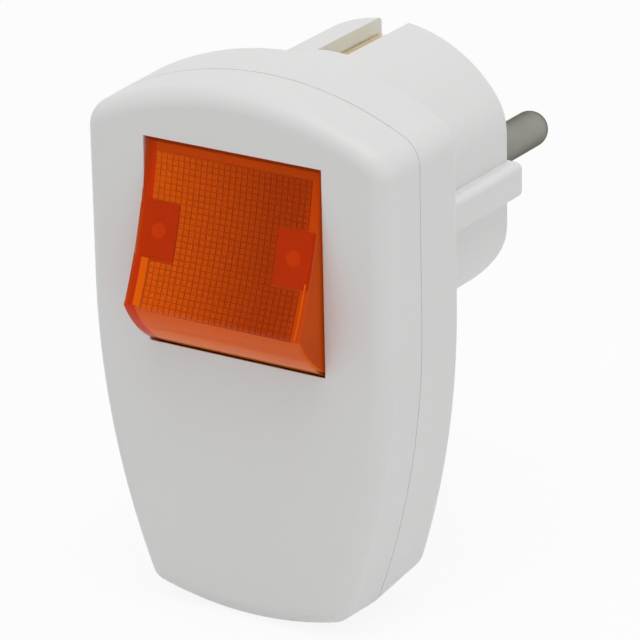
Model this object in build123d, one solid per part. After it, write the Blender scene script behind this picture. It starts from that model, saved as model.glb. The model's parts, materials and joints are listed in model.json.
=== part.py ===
from build123d import *

import os
from math import atan2, cos, degrees, hypot, radians, sin, sqrt

# A right-angled mains plug with a lit two-pole rocker switch in its front, to wire up at home.
# The origin is the middle of the face that lands in the socket, between the two pins.
# X runs to the right as the switch is looked at, Y out along the pins, Z up.
# The switch is built at the tilt it has in the picture: top pressed in, circuit closed.

# Case, seen from the switch side, at its front; the draft widens it toward the socket
case_half_width = 21.65
case_top = 19.5
case_foot = 49.4
shoulder_drop = 8.3          # below this the sides draw in
top_arch_radius = 46.0
side_arch_radius = 100.0
foot_arch_radius = 48.0
top_corner_radius = 4.0
foot_corner_radius = 2.5
side_draft = 0.5             # the back is this much wider on each side
top_draft = 1.0              # and this much higher
foot_rise = 2.0              # from the seam to the back
back_top_arch_radius = 41.0
back_side_arch_radius = 118.0
back_foot_corner_radius = 4.5

# Case, from the socket side to the switch side
drum_length = 21.5
rear_shell_depth = 8.8
cover_depth = 7.7
shell_wall = 2.0
front_wall = 2.2
back_wall = 2.0
front_edge_radius = 2.3
back_edge_radius = 1.4
seam_groove = 0.1            # how deep the line is where the two halves meet
lip_height = 1.5
lip_thickness = 0.9
fit_gap = 0.15               # between pieces that drop into each other
seat_gap = 0.02              # between a piece and what it rests on
root = 0.5                   # how far a boss or wall starts inside what carries it
overrun = 1.0                # how far a cut runs past the face it leaves
smallest_corner = 0.4

# Drum that enters the socket
drum_radius = 18.3
drum_wall = 2.0
face_wall = 3.0
flat_distance = 16.3
rib_width = 4.6
flat_edge_radius = 8.0       # where a flat runs out into the round
rib_corner_radius = 0.9
rim_radius = 0.8
earth_recess = 2.2           # the side contacts lie this far inside the drum's round
slot_width = 4.4
slot_length = 15.0
slot_floor_wall = 1.6

# Pins
pin_radius = 2.4
pin_reach = 19.0
pin_spacing = 19.0
pin_hole_gap = 0.2
pin_neck_radius = 2.2
collar_radius = 3.3
collar_height = 1.5
tail_radius = 1.7
rivet_radius = 2.6
rivet_height = 1.0
rivet_edge_radius = 0.6
retainer_thickness = 2.0
retainer_half_width = 13.4
retainer_half_height = 4.6
retainer_corner_radius = 3.0
retainer_post_wall = 1.8
blind_wall = 0.8

# Rocker and its window
window_width = 25.6
window_swing_radius = 15.55
window_edge_radius = 0.1
pivot_behind_front = 8.1
pivot_drop = 1.15
rocker_gap = 0.25
nose_half_angle = 41.5
front_hollow = 0.78
rest_tilt = 16.8
rocker_wall = 1.4
skirt_reach = 0.5            # how far the skirt runs past the pivot
trunnion_radius = 1.5
trunnion_length = 1.7
ear_radius = 2.9
nose_edge_radius = 0.45
post_inner = 6.6
post_half_height = 4.1
post_reach = 1.8
bore_radius = 1.35
bore_depth = 9.4
running_gap = 0.08

# Current path
strip_thickness = 0.8
strip_width = 5.0
fulcrum_depth = 6.4          # from the rocker's pivot to the knife edge
knife_height = 0.8
knife_half_width = 0.7
knife_gap = 0.03
blade_swing = 6.0
blade_bend = 15.0
blade_lower = 6.5
blade_upper = 4.5
button_radius = 1.5
button_height = 0.6
button_place = 5.2           # from the knife edge, down the blade
button_root = 0.1
fixed_button_height = 0.35
button_edge_radius = 0.2
plunger_gap = 0.12
plunger_stem = 5.3
contact_gap = 0.05
contact_tip = 2.2
jog_drop = 4.0
bracket_foot = 3.4
bracket_tail = 2.6
bracket_rise = 5.4
rivet_hole_gap = 0.02
spring_wire = 0.35
spring_pitch = 0.9
spring_side_gap = 0.05

# Terminals and cord entry
terminal_size = 6.0
terminal_depth = 5.6
terminal_top_drop = 23.5
wire_hole_radius = 1.7
wire_hole_back = 0.4
terminal_end_wall = 1.0
terminal_edge_radius = 0.5
terminal_lap = 2.4           # strips run this far past the terminal's middle
barrier_thickness = 1.2
barrier_height = 5.5
barrier_overhang = 0.8
earth_strip_width = 4.0
earth_tip_depth = 0.8
earth_tunnel_gap = 0.05
earth_bridge_behind = 2.4
cord_radius = 4.0
inlet_gap = 0.1
inlet_forward = 5.9          # from the back wall's inner face to the cord's axis
bush_wall = 0.8
bush_flange = 0.9
bush_flange_length = 1.9
bush_foot_gap = 0.1
bush_seat_gap = 0.05
clamp_height = 5.0
clamp_thickness = 1.5
clamp_above_foot = 5.5
clamp_screw_spacing = 16.6
clamp_post_radius = 2.6
clamp_ear = 2.5
clamp_corner_radius = 1.5
clamp_seat_inset = 1.0

# Screws
screw_radius = 1.45
screw_head_radius = 2.7
screw_head_height = 1.8
head_chamfer = 0.3
pilot_gap = 0.05
clear_hole_gap = 0.1
driver_slot_width = 0.7
driver_slot_depth = 0.8
cover_screw_spacing = 26.4
cover_screw_drop = 34.2
cover_screw_length = 9.5
cover_screw_recess = 0.4
cover_boss_wall = 1.0
frame_screw_radius = 0.9
frame_head_radius = 1.5
frame_head_height = 1.1
frame_screw_reach = 1.45
terminal_screw_length = 2.0
clamp_screw_reach = 5.0
retainer_screw_reach = 3.4

# Frame that carries the rocker
cheek_gap = 0.2
cheek_thickness = 1.6
cheek_shoulder = 4.5
bar_setback = 2.0
frame_front_gap = 0.35
frame_bar_thickness = 1.3
frame_bar_gap = 0.35
lug_thickness = 1.5
lug_height = 7.0

# Light inside the rocker
lamp_radius = 1.9
lamp_length = 11.0
resistor_radius = 1.15
resistor_length = 6.2
resistor_drop = 6.0
resistor_edge_radius = 0.3
pinch_length = 2.2
pinch_half_thickness = 0.6
lead_radius = 0.25
lead_bend_radius = 0.6
lead_overhang = 0.9
lamp_lead_x = 0.7
resistor_lead_reach = 1.3
post_lead_inset = 1.0
carrier_thickness = 1.2
carrier_half_height = 8.5
carrier_lead = 1.0           # its front face, ahead of the pivot
carrier_gap = 0.03
fork_thickness = 1.2
fork_side = 1.0
lamp_standoff = 0.9

# Places that follow from the sizes above
back_y = -drum_length
seam_y = back_y - rear_shell_depth
front_y = seam_y - cover_depth
floor_y = back_y - back_wall
ceiling_y = front_y + front_wall
shoulder_z = -shoulder_drop
pivot_y = front_y + pivot_behind_front
pivot_z = -pivot_drop
knife_y = pivot_y + fulcrum_depth
pin_x = pin_spacing / 2
rocker_radius = window_swing_radius - rocker_gap
rocker_half_width = window_width / 2 - rocker_gap
chord_depth = rocker_radius * cos(radians(nose_half_angle))
chord_half = rocker_radius * sin(radians(nose_half_angle))
hollow_radius = (chord_half**2 + front_hollow**2) / (2 * front_hollow)
face_back_y = -chord_depth + front_hollow + rocker_wall
plunger_radius = bore_radius - running_gap
tip_depth = (
    fulcrum_depth - strip_thickness - plunger_gap - plunger_radius / cos(radians(blade_bend))
)
earth_outer = drum_radius - earth_recess
earth_inner = earth_outer - strip_thickness
bridge_y = -slot_length - earth_bridge_behind
terminal_z = -terminal_top_drop - terminal_size / 2
strip_y = floor_y - strip_thickness / 2
inlet_y = floor_y - inlet_forward
bush_bore_radius = cord_radius + inlet_gap
bush_radius = bush_bore_radius + bush_wall
clamp_z = -case_foot + clamp_above_foot + clamp_height / 2
cheek_inner = window_width / 2 + cheek_gap
cheek_outer = cheek_inner + cheek_thickness
cover_screw_z = -cover_screw_drop
cover_seat_y = floor_y - cover_screw_recess
lamp_y = -carrier_lead - lamp_standoff - lamp_radius
resistor_y = -carrier_lead + carrier_thickness + resistor_radius
retainer_back = -face_wall - collar_height - retainer_thickness
frame_screw_x = (cheek_outer + case_half_width - shell_wall) / 2
terminal_seat = strip_y - strip_thickness / 2


def rod(radius, start, end, x=0.0, y=0.0, z=0.0, along="Y"):
    """A round bar between two places on the axis named, through the point given."""
    bar = Cylinder(radius, end - start, align=(Align.CENTER, Align.CENTER, Align.MIN))
    if along == "X":
        return Pos(start, y, z) * Rot(0, 90, 0) * bar
    if along == "Y":
        return Pos(x, start, z) * Rot(-90, 0, 0) * bar
    return Pos(x, y, start) * bar


def block(x_span, y_span, z_span):
    """A square-edged block from its lowest to its highest place on each axis."""
    spans = (x_span, y_span, z_span)
    middle = [(low + high) / 2 for low, high in spans]
    return Pos(*middle) * Box(*[high - low for low, high in spans])


def prism(plan, y_from, y_to):
    """A plan drawn in X and Z, run along Y."""
    return extrude(Plane.XZ.offset(-y_from) * plan, amount=y_to - y_from, dir=(0, 1, 0))


def side_prism(profile, x_from, x_to):
    """A profile drawn in Y and Z, run along X."""
    return extrude(Plane.YZ.offset(x_from) * profile, amount=x_to - x_from, dir=(1, 0, 0))


def ribbon(points, thickness):
    """The edge-on profile of a bent strip whose middle follows the points in Y and Z."""
    profile = Sketch()
    for (y0, z0), (y1, z1) in zip(points, points[1:]):
        turn = degrees(atan2(z1 - z0, y1 - y0))
        length = hypot(y1 - y0, z1 - z0)
        middle = Pos((y0 + y1) / 2, (z0 + z1) / 2)
        profile += middle * Rot(0, 0, turn) * Rectangle(length, thickness)
    for y, z in points[1:-1]:
        profile += Pos(y, z) * Circle(thickness / 2)
    return profile


def screw(length, radius=screw_radius, head_radius=screw_head_radius, head_height=screw_head_height):
    """A slotted cheese-head screw whose head seats at the origin, its shank along +Y."""
    head = rod(head_radius, -head_height, 0)
    head = chamfer(head.edges().group_by(Axis.Y)[0], head_chamfer)
    slot = block(
        (-head_radius, head_radius),
        (-head_height, -head_height + driver_slot_depth),
        (-driver_slot_width / 2, driver_slot_width / 2),
    )
    return head + rod(radius, 0, length) - slot


def tilted(shape):
    """Puts a piece drawn about the rocker's pivot where it lies with the top pressed in."""
    return Pos(0, pivot_y, pivot_z) * Rot(-rest_tilt, 0, 0) * shape


def save(name, *pieces):
    """Writes one sub-part: one solid, or a group of loose ones of the same kind."""
    solids = [solid for piece in pieces for solid in piece.solids()]
    shape = solids[0] if len(solids) == 1 else Compound(children=solids)
    export_step(shape, f"parts/{name}.step")


# Case

def arched_plan(half_width, top, foot, top_radius, side_radius, foot_corner, inset=0.0):
    """The case seen from the switch side: arched top and foot, sides that draw in below."""
    upper = Pos(0, shoulder_z) * Rectangle(
        2 * (half_width - inset), top - shoulder_z, align=(Align.CENTER, Align.MIN)
    )
    upper &= Pos(0, top - top_radius) * Circle(top_radius - inset)
    lower = Pos(0, shoulder_z) * Rectangle(
        2 * (half_width - inset), foot + shoulder_z, align=(Align.CENTER, Align.MAX)
    )
    lower &= Pos(0, foot_arch_radius - foot) * Circle(foot_arch_radius - inset)
    for hand in (-1, 1):
        lower &= Pos(hand * (side_radius - half_width), shoulder_z) * Circle(side_radius - inset)
    plan = upper + lower
    rows = plan.vertices().group_by(Axis.Y)
    plan = fillet(rows[-1], top_corner_radius - inset)
    rows = plan.vertices().group_by(Axis.Y)
    return fillet(rows[0], max(foot_corner - inset, smallest_corner))


def case_plan(inset=0.0):
    """The case's front outline, or the outline that lies inset from it."""
    return arched_plan(
        case_half_width, case_top, case_foot, top_arch_radius, side_arch_radius,
        foot_corner_radius, inset,
    )


def drafted_plan(y, rise=0.0, inset=0.0):
    """The case's outline at a place between its front and its back."""
    share = (y - front_y) / (back_y - front_y)
    return arched_plan(
        half_width=case_half_width + share * side_draft,
        top=case_top + share * top_draft,
        foot=case_foot - rise,
        top_radius=top_arch_radius + share * (back_top_arch_radius - top_arch_radius),
        side_radius=side_arch_radius + share * (back_side_arch_radius - side_arch_radius),
        foot_corner=foot_corner_radius + share * (back_foot_corner_radius - foot_corner_radius),
        inset=inset,
    )


def case_block():
    """The whole case as one solid, drafted from its front by way of the seam to its back."""
    sections = []
    for y, rise in ((front_y, 0), (seam_y, 0), (back_y, foot_rise)):
        sections.append((Plane.XZ.offset(-y) * drafted_plan(y, rise)).face())
    body = loft(sections, ruled=True)
    body = fillet(body.edges().group_by(Axis.Y)[0], front_edge_radius)
    return fillet(body.edges().group_by(Axis.Y)[-1], back_edge_radius)


def case_half(y_from, y_to):
    """The stretch of the case between two places along Y."""
    wide = 2 * case_foot
    return case_block() & block((-wide, wide), (y_from, y_to), (-wide, wide))


def seam_relief(y_from, y_to):
    """What is taken off round one half of the case where it meets the other."""
    wide = 2 * case_foot
    around = block((-wide, wide), (y_from, y_to), (-wide, wide))
    return around - prism(drafted_plan(seam_y, inset=seam_groove), y_from, y_to)


def foot_height(x, inset=0.0):
    """Height of the foot's arch beside the middle."""
    return foot_arch_radius - case_foot - sqrt((foot_arch_radius - inset)**2 - x**2)


def bush_seat():
    """Height of the foot wall's inner face where the bush's flange lies on it."""
    return foot_height(bush_radius + bush_flange, shell_wall) + bush_seat_gap


def cover_screw_places():
    """The two cover screws, left and right."""
    return [{"x": hand * cover_screw_spacing / 2, "z": cover_screw_z} for hand in (-1, 1)]


def front_cover():
    """The switch-side half of the case, with the rocker's window and two screw bosses."""
    body = case_half(front_y, seam_y) - seam_relief(seam_y - seam_groove, seam_y)
    body -= prism(case_plan(shell_wall), seam_y, ceiling_y)
    # the lip that drops into the rear housing
    lip_top = seam_y + lip_height
    lip = prism(case_plan(shell_wall - lip_thickness), seam_y - lip_height, lip_top)
    body += lip - prism(case_plan(shell_wall), seam_y - lip_height, lip_top)
    rear_boss = screw_head_radius + cover_boss_wall + 2 * fit_gap
    for place in cover_screw_places():
        body -= rod(rear_boss, seam_y, lip_top + overrun, **place)
    # the window that the rocker swings in
    body -= rod(
        window_swing_radius, -window_width / 2, window_width / 2, y=pivot_y, z=pivot_z, along="X"
    )
    front = body.faces().sort_by(Axis.Y)[0]
    body = fillet(front.inner_wires()[0].edges(), window_edge_radius)
    # bosses for the cover screws
    boss_radius = screw_radius + pilot_gap + shell_wall
    for place in cover_screw_places():
        body += rod(boss_radius, ceiling_y - root, seam_y - fit_gap, **place)
        body -= rod(screw_radius + pilot_gap, ceiling_y, seam_y, **place)
    # the way for the cord bush
    way = bush_radius + fit_gap
    way_top = bush_seat() + bush_flange_length
    body -= rod(way, -case_foot - overrun, way_top, y=inlet_y, along="Z")
    return body - block((-way, way), (inlet_y, lip_top + overrun), (-case_foot - overrun, way_top))


def drum():
    """The round body that enters the socket, with two side flats and a rib on each."""
    plan = Circle(drum_radius) & Rectangle(2 * flat_distance, 2 * drum_radius)
    plan = fillet(plan.vertices(), flat_edge_radius)
    body = prism(plan, back_y - back_wall / 2, 0)
    body = fillet(body.edges().group_by(Axis.Y)[-1], rim_radius)
    bar = fillet(Rectangle(2 * drum_radius, rib_width).vertices(), rib_corner_radius)
    ribs = prism(bar, back_y - back_wall / 2, 0)
    return body + fillet(ribs.edges().group_by(Axis.Y)[-1], rim_radius / 2)


def rear_housing():
    """The socket-side half of the case in one moulding with the drum."""
    body = case_half(seam_y, back_y) + drum()
    # hollow of the shell, with a rebate for the cover's lip
    body -= prism(case_plan(shell_wall), seam_y, floor_y)
    rebate = shell_wall - lip_thickness - fit_gap
    body -= prism(case_plan(rebate), seam_y, seam_y + lip_height + fit_gap)
    # hollow of the drum, which leaves the blocks under the earth slots standing
    hollow = Circle(drum_radius - drum_wall) & Rectangle(
        2 * (flat_distance - drum_wall), 2 * drum_radius
    )
    body -= prism(hollow, floor_y, -face_wall)
    half = slot_width / 2
    thick = half + slot_floor_wall
    for hand in (-1, 1):
        under = sorted((hand * (earth_inner - slot_floor_wall), hand * (drum_radius - drum_wall)))
        body += block((-thick, thick), (-slot_length - slot_floor_wall, -face_wall / 2), under)
    for hand in (-1, 1):
        slot = sorted((hand * (earth_inner - seat_gap), hand * (drum_radius + overrun)))
        body -= block((-half, half), (-slot_length, overrun), slot)
        tunnel = sorted((hand * (earth_inner - seat_gap), hand * (earth_outer + earth_tunnel_gap)))
        body -= block((-half, half), (floor_y, -slot_length), tunnel)
    # pins, and the screw that holds their retainer
    for hand in (-1, 1):
        body -= rod(pin_radius + pin_hole_gap, -face_wall - overrun, overrun, x=hand * pin_x)
    post_end = -face_wall - collar_height
    body += rod(screw_radius + retainer_post_wall, post_end, -face_wall + root)
    body -= rod(screw_radius + pilot_gap, post_end - overrun, -blind_wall)
    # deep seats of the cover screws
    head_way = screw_head_radius + fit_gap
    for place in cover_screw_places():
        seat = rod(head_way + cover_boss_wall, seam_y + fit_gap, floor_y + root, **place)
        body += seat & prism(case_plan(shell_wall - root), seam_y, floor_y + root)
        body -= rod(head_way, cover_seat_y, back_y + overrun, **place)
        body -= rod(screw_radius + fit_gap, seam_y - overrun, cover_seat_y + overrun, **place)
    # threads of the frame's screws, and room for the load contacts where the drum begins
    for hand in (-1, 1):
        body -= rod(frame_screw_radius + pilot_gap, floor_y - overrun,
                    floor_y + frame_screw_reach + pilot_gap, x=hand * frame_screw_x, z=pivot_z)
        sides = (hand * pin_x - strip_width / 2 - fit_gap, hand * pin_x + strip_width / 2 + fit_gap)
        jog = fixed_button_z() - jog_drop - strip_thickness / 2 - fit_gap
        body -= block(sides, (floor_y - root, load_strip_y() + strip_thickness / 2 + fit_gap), (jog, 0))
    # walls between the terminals
    barrier_half = terminal_size / 2 + barrier_overhang
    for hand in (-1, 1):
        middle = hand * pin_x / 2
        sides = (middle - barrier_thickness / 2, middle + barrier_thickness / 2)
        body += block(sides, (floor_y - barrier_height, floor_y + root),
                      (terminal_z - barrier_half, terminal_z + barrier_half))
    # seat and posts of the cord clamp
    half = clamp_screw_spacing / 2
    seat_half = clamp_height / 2 - clamp_seat_inset
    body += block((-half, half), (inlet_y, floor_y + root), (clamp_z - seat_half, clamp_z + seat_half))
    for hand in (-1, 1):
        body += rod(clamp_post_radius, inlet_y, floor_y + root, x=hand * half, z=clamp_z)
        body -= rod(screw_radius + pilot_gap, inlet_y - overrun, floor_y, x=hand * half, z=clamp_z)
    body -= rod(cord_radius, clamp_z - clamp_height, clamp_z + clamp_height, y=inlet_y, along="Z")
    # the way for the cord bush, open toward the seam so that the bush drops in
    way = bush_radius + fit_gap
    way_top = bush_seat() + bush_flange_length
    body -= rod(way, -case_foot - overrun, way_top, y=inlet_y, along="Z")
    body -= block((-way, way), (seam_y - overrun, inlet_y), (-case_foot - overrun, way_top))
    return body - seam_relief(seam_y, seam_y + seam_groove)


# Rocker and its frame

def rocker_profile(inset=0.0):
    """The rocker from the side, about its pivot: round ends and a slightly hollow front."""
    centre_y = -chord_depth + front_hollow - hollow_radius
    return Circle(rocker_radius - inset) - Pos(centre_y, 0) * Circle(hollow_radius + inset)


def rocker_cap():
    """The amber see-through cap, with a boss for each plunger and a trunnion on each side."""
    behind = Pos(skirt_reach, 0) * Rectangle(
        2 * rocker_radius, 3 * rocker_radius, align=(Align.MIN, Align.CENTER)
    )
    body = side_prism(rocker_profile() - behind, -rocker_half_width, rocker_half_width)
    front = body.edges().filter_by(lambda edge: edge.center().Y < face_back_y - rocker_wall / 2)
    body = fillet(front, nose_edge_radius)
    inner = rocker_half_width - rocker_wall
    body -= side_prism(rocker_profile(rocker_wall), -inner, inner)
    for hand in (-1, 1):
        wall = sorted((hand * inner, hand * rocker_half_width))
        body += rod(ear_radius, *wall, along="X")
        pivot = sorted((hand * inner, hand * (rocker_half_width + trunnion_length)))
        body += rod(trunnion_radius, *pivot, along="X")
        post = sorted((hand * post_inner, hand * (inner + rocker_wall / 2)))
        body += block(post, (face_back_y - rocker_wall / 2, post_reach),
                      (-post_half_height, post_half_height))
    for hand in (-1, 1):
        body -= rod(bore_radius, post_reach - bore_depth, post_reach + overrun, x=hand * pin_x)
    return tilted(body)


def switch_frame():
    """The frame whose two cheeks carry the trunnions, with a lug on each side."""
    clear = window_swing_radius + frame_bar_gap
    outer = clear + frame_bar_thickness
    front = ceiling_y + frame_front_gap
    ring = Rectangle(2 * cheek_outer, 2 * outer) - Rectangle(2 * cheek_inner, 2 * clear)
    body = prism(Pos(0, pivot_z) * ring, front, floor_y)
    # low bars, high cheeks
    wide = cheek_outer + overrun
    for hand in (-1, 1):
        low, high = sorted((hand * (ear_radius + cheek_shoulder), hand * (outer + overrun)))
        body -= block((-wide, wide), (front - overrun, pivot_y + bar_setback),
                      (pivot_z + low, pivot_z + high))
    # the bars stand clear of the strips on the back wall
    strip_room = pin_x + strip_width / 2 + 2 * fit_gap
    strip_front = floor_y - strip_thickness - 2 * fit_gap
    body -= block((-strip_room, strip_room), (strip_front, floor_y + overrun), (-case_foot, case_top))
    lug_x = case_half_width - shell_wall - fit_gap
    for hand in (-1, 1):
        sides = sorted((hand * (cheek_outer - cheek_thickness / 2), hand * lug_x))
        body += block(sides, (floor_y - lug_thickness, floor_y),
                      (pivot_z - lug_height / 2, pivot_z + lug_height / 2))
        body -= rod(frame_screw_radius + clear_hole_gap, floor_y - lug_thickness - overrun, floor_y + overrun,
                    x=hand * frame_screw_x, z=pivot_z)
    body -= rod(trunnion_radius + running_gap, -wide, wide, y=pivot_y, z=pivot_z, along="X")
    return body & prism(case_plan(shell_wall + fit_gap), ceiling_y, floor_y)


# Light

def lamp_carrier():
    """The plate between the two bosses, with two forks that the lamp lies in."""
    half = post_inner - carrier_gap
    body = block((-half, half), (-carrier_lead, -carrier_lead + carrier_thickness),
                 (-carrier_half_height, carrier_half_height))
    fork_half = lamp_radius + fork_side
    for hand in (-1, 1):
        z = hand * (lamp_length / 2 - fork_thickness)
        body += block((-fork_half, fork_half), (lamp_y, -carrier_lead + carrier_thickness / 2),
                      (z - fork_thickness / 2, z + fork_thickness / 2))
    body -= rod(lamp_radius + seat_gap, -lamp_length, lamp_length, y=lamp_y, along="Z")
    return tilted(body)


def glow_lamp():
    """The small glow lamp: a glass tube with a domed tip and a pinched foot."""
    half = lamp_length / 2
    width = 0.8 * lamp_radius
    bulb = rod(lamp_radius, -half + 0.7 * pinch_length, half - lamp_radius, y=lamp_y, along="Z")
    tip = Pos(0, lamp_y, half - lamp_radius) * Sphere(lamp_radius)
    pinch = block((-width, width), (lamp_y - pinch_half_thickness, lamp_y + pinch_half_thickness),
                  (-half, -half + pinch_length))
    return tilted(bulb + tip + pinch)


def series_resistor():
    """The lamp's series resistor, flat on the back of the carrier."""
    half = resistor_length / 2
    body = rod(resistor_radius, -half, half, y=resistor_y, z=-resistor_drop, along="X")
    return tilted(fillet(body.edges(), resistor_edge_radius))


def wire(points):
    """A bare wire with small bends through the points."""
    path = FilletPolyline(*points, radius=lead_bend_radius)
    start = Plane(origin=path @ 0, z_dir=path % 0)
    return sweep(start * Circle(lead_radius), path=path)


def lamp_leads():
    """The two bare leads to the bosses, and the one that joins the lamp to its resistor."""
    foot = -lamp_length / 2 - seat_gap
    under = -carrier_half_height - lead_overhang
    post_x = post_inner + post_lead_inset
    post_foot = -post_half_height - seat_gap
    body_end = resistor_length / 2 + seat_gap
    bend_x = -resistor_length / 2 - resistor_lead_reach
    left = wire([
        (-lamp_lead_x, lamp_y, foot), (-lamp_lead_x, lamp_y, under),
        (-post_x, lamp_y, under), (-post_x, lamp_y, post_foot),
    ])
    right = wire([
        (body_end, resistor_y, -resistor_drop), (post_x, resistor_y, -resistor_drop),
        (post_x, lamp_y, -resistor_drop), (post_x, lamp_y, post_foot),
    ])
    join = wire([
        (lamp_lead_x, lamp_y, foot), (lamp_lead_x, lamp_y, under), (lamp_lead_x, resistor_y, under),
        (bend_x, resistor_y, under), (bend_x, resistor_y, -resistor_drop),
        (-body_end, resistor_y, -resistor_drop),
    ])
    return [tilted(lead) for lead in (left, right, join)]


# Current path, one set for each pole

def plunger(hand):
    """The sprung round-nosed plunger that tips the contact blade."""
    stem = rod(plunger_radius, tip_depth - plunger_stem, tip_depth, x=hand * pin_x)
    nose = Pos(hand * pin_x, tip_depth, 0) * Sphere(plunger_radius)
    return tilted(stem + nose)


def plunger_spring(hand):
    """The coil spring between the bottom of the boss's bore and the plunger."""
    low = post_reach - bore_depth + spring_wire / 2
    high = tip_depth - plunger_stem - spring_wire / 2
    coil_radius = plunger_radius - spring_wire / 2 - spring_side_gap
    path = Helix(spring_pitch, high - low, coil_radius)
    start = Plane(origin=path @ 0, z_dir=path % 0)
    coil = sweep(start * Circle(spring_wire / 2), path=path)
    return tilted(Pos(hand * pin_x, low, 0) * Rot(-90, 0, 0) * coil)


def on_fulcrum(shape):
    """Puts a blade drawn about its knife edge where it lies with the contact closed."""
    return Pos(0, knife_y, pivot_z) * Rot(blade_swing, 0, 0) * shape


def blade_point(along, lift=0.0):
    """Place on the blade's back, measured down its lower wing from the knife edge."""
    bend = radians(blade_bend)
    y = -sin(bend) * abs(along) + cos(bend) * lift
    z = -cos(bend) * along - sin(bend) * lift * (1 if along > 0 else -1)
    return y, z


def closed_point(along, lift=0.0):
    """The same place in the case, with the contact closed."""
    y, z = blade_point(along, lift)
    swing = radians(blade_swing)
    return knife_y + y * cos(swing) - z * sin(swing), pivot_z + y * sin(swing) + z * cos(swing)


def fixed_button_z():
    """Height of the fixed contact's button."""
    return closed_point(button_place, button_height)[1]


def load_strip_y():
    """Middle of the load contact's strip behind its button."""
    nearest = closed_point(button_place - button_radius, button_height)[0]
    return nearest + contact_gap + fixed_button_height + strip_thickness / 2


def contact_blade(hand):
    """The bent see-saw strip, with a contact button under its lower wing."""
    middle = -strip_thickness / 2
    crest = (middle / cos(radians(blade_bend)), 0)
    points = [blade_point(-blade_upper, middle), crest, blade_point(blade_lower, middle)]
    x = (hand * pin_x - strip_width / 2, hand * pin_x + strip_width / 2)
    body = side_prism(ribbon(points, strip_thickness), *x)
    y, z = blade_point(button_place)
    button = rod(button_radius, -button_root, button_height)
    body += Pos(hand * pin_x, y, z) * Rot(-blade_bend, 0, 0) * button
    return on_fulcrum(body)


def pole_bracket(hand):
    """The strip riveted to the pin that ends in the knife edge under the blade."""
    seat = retainer_back - strip_thickness / 2
    rise = pivot_z + bracket_rise
    head = knife_y + knife_height + strip_thickness / 2
    points = [(seat, -bracket_foot), (seat, rise), (head, rise), (head, pivot_z - bracket_tail)]
    sides = (hand * pin_x - strip_width / 2, hand * pin_x + strip_width / 2)
    knife_foot = knife_y + knife_height + button_root
    knife = Polygon(
        (knife_y + knife_gap, pivot_z), (knife_foot, pivot_z - knife_half_width),
        (knife_foot, pivot_z + knife_half_width), align=None,
    )
    body = side_prism(ribbon(points, strip_thickness) + knife, *sides)
    hole = (seat - strip_thickness, seat + strip_thickness)
    return body - rod(tail_radius + rivet_hole_gap, *hole, x=hand * pin_x)


def line_pin(hand):
    """The solid round pin, held by its collar and riveted through its bracket."""
    x = hand * pin_x
    body = rod(pin_radius, 0, pin_reach - pin_radius, x=x)
    body += Pos(x, pin_reach - pin_radius, 0) * Sphere(pin_radius)
    body += rod(pin_neck_radius, -face_wall - collar_height / 2, 0, x=x)
    body += rod(collar_radius, -face_wall - collar_height, -face_wall, x=x)
    rivet_seat = retainer_back - strip_thickness
    body += rod(tail_radius, rivet_seat - rivet_height / 2, -face_wall - collar_height / 2, x=x)
    head = rod(rivet_radius, rivet_seat - rivet_height, rivet_seat, x=x)
    return body + fillet(head.edges().group_by(Axis.Y)[0], rivet_edge_radius)


def pin_retainer():
    """The insulating plate screwed down behind the collars of both pins."""
    plan = Rectangle(2 * retainer_half_width, 2 * retainer_half_height)
    plan = fillet(plan.vertices(), retainer_corner_radius)
    for hand in (-1, 1):
        plan -= Pos(hand * pin_x, 0) * Circle(tail_radius + pilot_gap)
    plan -= Circle(screw_radius + clear_hole_gap)
    return prism(plan, retainer_back, retainer_back + retainer_thickness)


def load_contact(hand):
    """The fixed contact strip, which runs down the back wall to its terminal."""
    deep = load_strip_y()
    face_z = fixed_button_z()
    jog_z = face_z - jog_drop
    points = [(deep, face_z + contact_tip), (deep, jog_z)]
    points += [(strip_y, jog_z), (strip_y, terminal_z - terminal_lap)]
    sides = (hand * pin_x - strip_width / 2, hand * pin_x + strip_width / 2)
    body = side_prism(ribbon(points, strip_thickness), *sides)
    front = deep - strip_thickness / 2
    button = rod(button_radius, front - fixed_button_height, front + button_root, x=hand * pin_x, z=face_z)
    return body + fillet(button.edges().group_by(Axis.Y)[0], button_edge_radius)


def terminal(x):
    """A brass terminal block, open to the wire from below and to its screw from the front."""
    half = terminal_size / 2
    body = block((x - half, x + half), (terminal_seat - terminal_depth, terminal_seat),
                 (terminal_z - half, terminal_z + half))
    body = fillet(body.edges().filter_by(Axis.Z), terminal_edge_radius)
    wire_y = terminal_seat - terminal_depth / 2 + wire_hole_back
    body -= rod(wire_hole_radius, terminal_z - half - overrun, terminal_z + half - terminal_end_wall,
                x=x, y=wire_y, along="Z")
    front = terminal_seat - terminal_depth
    return body - rod(screw_radius + pilot_gap, front - overrun, wire_y, x=x, z=terminal_z)


def earth_strap():
    """One strip bent to a U whose legs lie in the two slots, with a tail to its terminal."""
    middle = earth_outer - strip_thickness / 2
    tip = -earth_tip_depth
    legs = [(tip, middle), (bridge_y, middle), (bridge_y, -middle), (tip, -middle)]
    tail = [(bridge_y, -middle), (strip_y, -middle), (strip_y, terminal_z - terminal_lap)]
    profile = ribbon(legs, strip_thickness) + ribbon(tail, strip_thickness)
    return side_prism(profile, -earth_strip_width / 2, earth_strip_width / 2)


# Cord entry

def cord_bush():
    """The grommet that lines the cord's way in, flanged inside the foot of the case."""
    start = foot_height(bush_radius) + bush_foot_gap
    seat = bush_seat()
    top = seat + bush_flange_length
    body = rod(bush_radius, start, seat + root, y=inlet_y, along="Z")
    body += rod(bush_radius + bush_flange, seat, top, y=inlet_y, along="Z")
    return body - rod(bush_bore_radius, start - overrun, top + overrun, y=inlet_y, along="Z")


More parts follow.
